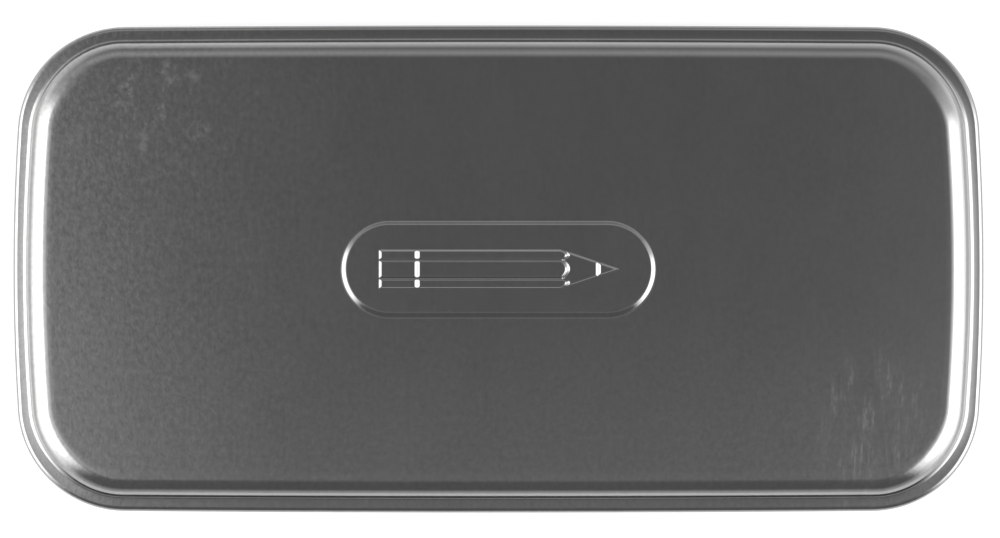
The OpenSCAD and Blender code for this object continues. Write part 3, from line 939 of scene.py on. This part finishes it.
# %% [markdown]
# The surroundings are patches of light with soft edges. A patch is a sum of ramps that is
# multiplied by more ramps, and a ramp is written as what it follows, where it starts, where it
# ends, and its value at both. It follows some measure of a direction: x, y and z are those of
# an arrow one unit long, lean is how far the arrow leans from overhead, and turn is y as a
# share of the size of x. The walls beyond the ends aren't quite square to the tin, so left and
# right are x with a share of y. The soft boxes are shown to metal and gloss only, because lamps
# light the tin in their place.

# %% Patches of light
OVERHEAD = 0.133       # radiance of the dim air over the tin
BOX = 2.0              # radiance of the soft boxes as metal shows them
SLANT = {"left": 0.2, "right": -0.4}   # the share of y
END_WALLS = ([("left", -0.075, -0.125, 0, 0.08), ("left", -0.105, -0.150, 0, 0.55),
              ("x", -0.15, -0.45, 0, 0.40), ("right", 0.07, 0.13, 0, 0.10),
              ("x", 0.15, 0.36, 0, 1.0)],
             [("turn", 0.0, 0.8, 1, 0), ("turn", -1.3, -0.4, 0, 1)])
FAR_WALL = ([("y", 0.1, 0.5, 0, 0.30)], [("y", 0.6, 0.9, 1, 0.25)])
NEAR_STRIP = ([("y", -0.026, -0.058, 0, 0.120)],
              [("y", -0.062, -0.085, 1, 0.6), ("y", -0.085, -0.3, 1, 0)])
HORIZON = ([("z", 0.45, 0.1, 0, 0.40)], [])
BOX_FADES = [("z", 0.12, 0.25, 0, 1), ("z", 0.35, 0.62, 0.45, 1), ("gloss", 0, 1, 0, 1)]
LEFT_BOX = ([("lean", 0.38, 0.52, 0, BOX)],
            [("x", 0.0, -0.1, 0, 1), ("turn", 0.24, 0.56, 1, 0),
             ("turn", -1.1, -0.6, 0, 1)] + BOX_FADES)
RIGHT_BOX = ([("lean", 0.36, 0.50, 0, BOX)],
             [("x", 0.0, 0.1, 0, 1), ("turn", 0.12, 0.36, 1, 0),
              ("turn", -1.3, -0.65, 0, 1)] + BOX_FADES)
PATCHES = (END_WALLS, FAR_WALL, NEAR_STRIP, HORIZON, LEFT_BOX, RIGHT_BOX)
print("patches of light:", len(PATCHES))

# %% Surroundings
world = bpy.data.worlds.new("Studio")
bpy.context.scene.world = world
world.use_nodes = True
tree = world.node_tree
tree.nodes.clear()
towards = add_node(tree, "TexCoord").outputs["Generated"]
x, y, z = add_node(tree, "SeparateXYZ", [towards]).outputs
level = add_node(tree, "VectorMath", [towards, (1, 1, 0)], operation="MULTIPLY")
to_side = add_node(tree, "Math", [x], operation="ABSOLUTE")
path = add_node(tree, "LightPath").outputs
follows = {"x": x, "y": y, "z": z, "gloss": path["Is Glossy Ray"],
           "lean": add_node(tree, "VectorMath", [level], operation="LENGTH"),
           "turn": add_node(tree, "Math", [y, to_side], operation="DIVIDE")}
for wall, share in SLANT.items():
    follows[wall] = add_node(tree, "Math", [y, share, x], operation="MULTIPLY_ADD")
radiance = OVERHEAD
for added, factors in PATCHES:
    patch_light = 0
    for ramps, operation in ((added, "ADD"), (factors, "MULTIPLY")):
        for source, *ramp in ramps:
            step = add_node(tree, "MapRange", [follows[source], *ramp])
            patch_light = add_node(tree, "Math", [patch_light, step], operation=operation)
    radiance = add_node(tree, "Math", [radiance, patch_light], operation="ADD")
for ray in ("Is Camera Ray", "Is Transmission Ray"):
    radiance = add_node(tree, "Math", [radiance, path[ray]], operation="MAXIMUM")
add_node(tree, "OutputWorld",
         {"Surface": add_node(tree, "Background", ["#FFFFFF", radiance])})
print("surroundings:", len(tree.nodes), "nodes")

# %% [markdown]
# The lamps below give the light itself. They are kept out of reflections, because an area
# lamp's edge is a hard line there, and the surroundings already show the same two boxes softly.

# %% Lamps
BOX_WID, BOX_LEN = 0.96, 1.2   # m, sides of a lamp
BOX_AWAY, BOX_Y = 1.0, -0.19   # m, its distance, and its place along Y
BOX_LIGHT = 1.8                # its radiance as it lights the tin


def soft_box(name, zenith):
    """An area lamp a metre from the tin. zenith is its angle from overhead towards +X."""
    data = bpy.data.lights.new(name, "AREA")
    data.shape = "RECTANGLE"
    data.size, data.size_y = BOX_WID, BOX_LEN
    data.energy = BOX_LIGHT * math.pi * BOX_WID * BOX_LEN
    lamp = bpy.data.objects.new(name, data)
    tilt = math.radians(zenith)
    lamp.location = (BOX_AWAY * math.sin(tilt), BOX_Y, BOX_AWAY * math.cos(tilt))
    lamp.rotation_euler = (0, tilt, 0)
    lamp.visible_camera = lamp.visible_glossy = False
    bpy.context.scene.collection.objects.link(lamp)
    return lamp


for lamp in (soft_box("Soft box left", -54), soft_box("Soft box right", 50)):
    print(lamp.name, "at", [round(c, 2) for c in lamp.location])

# %% Finish
bpy.context.scene.view_settings.view_transform = "Standard"
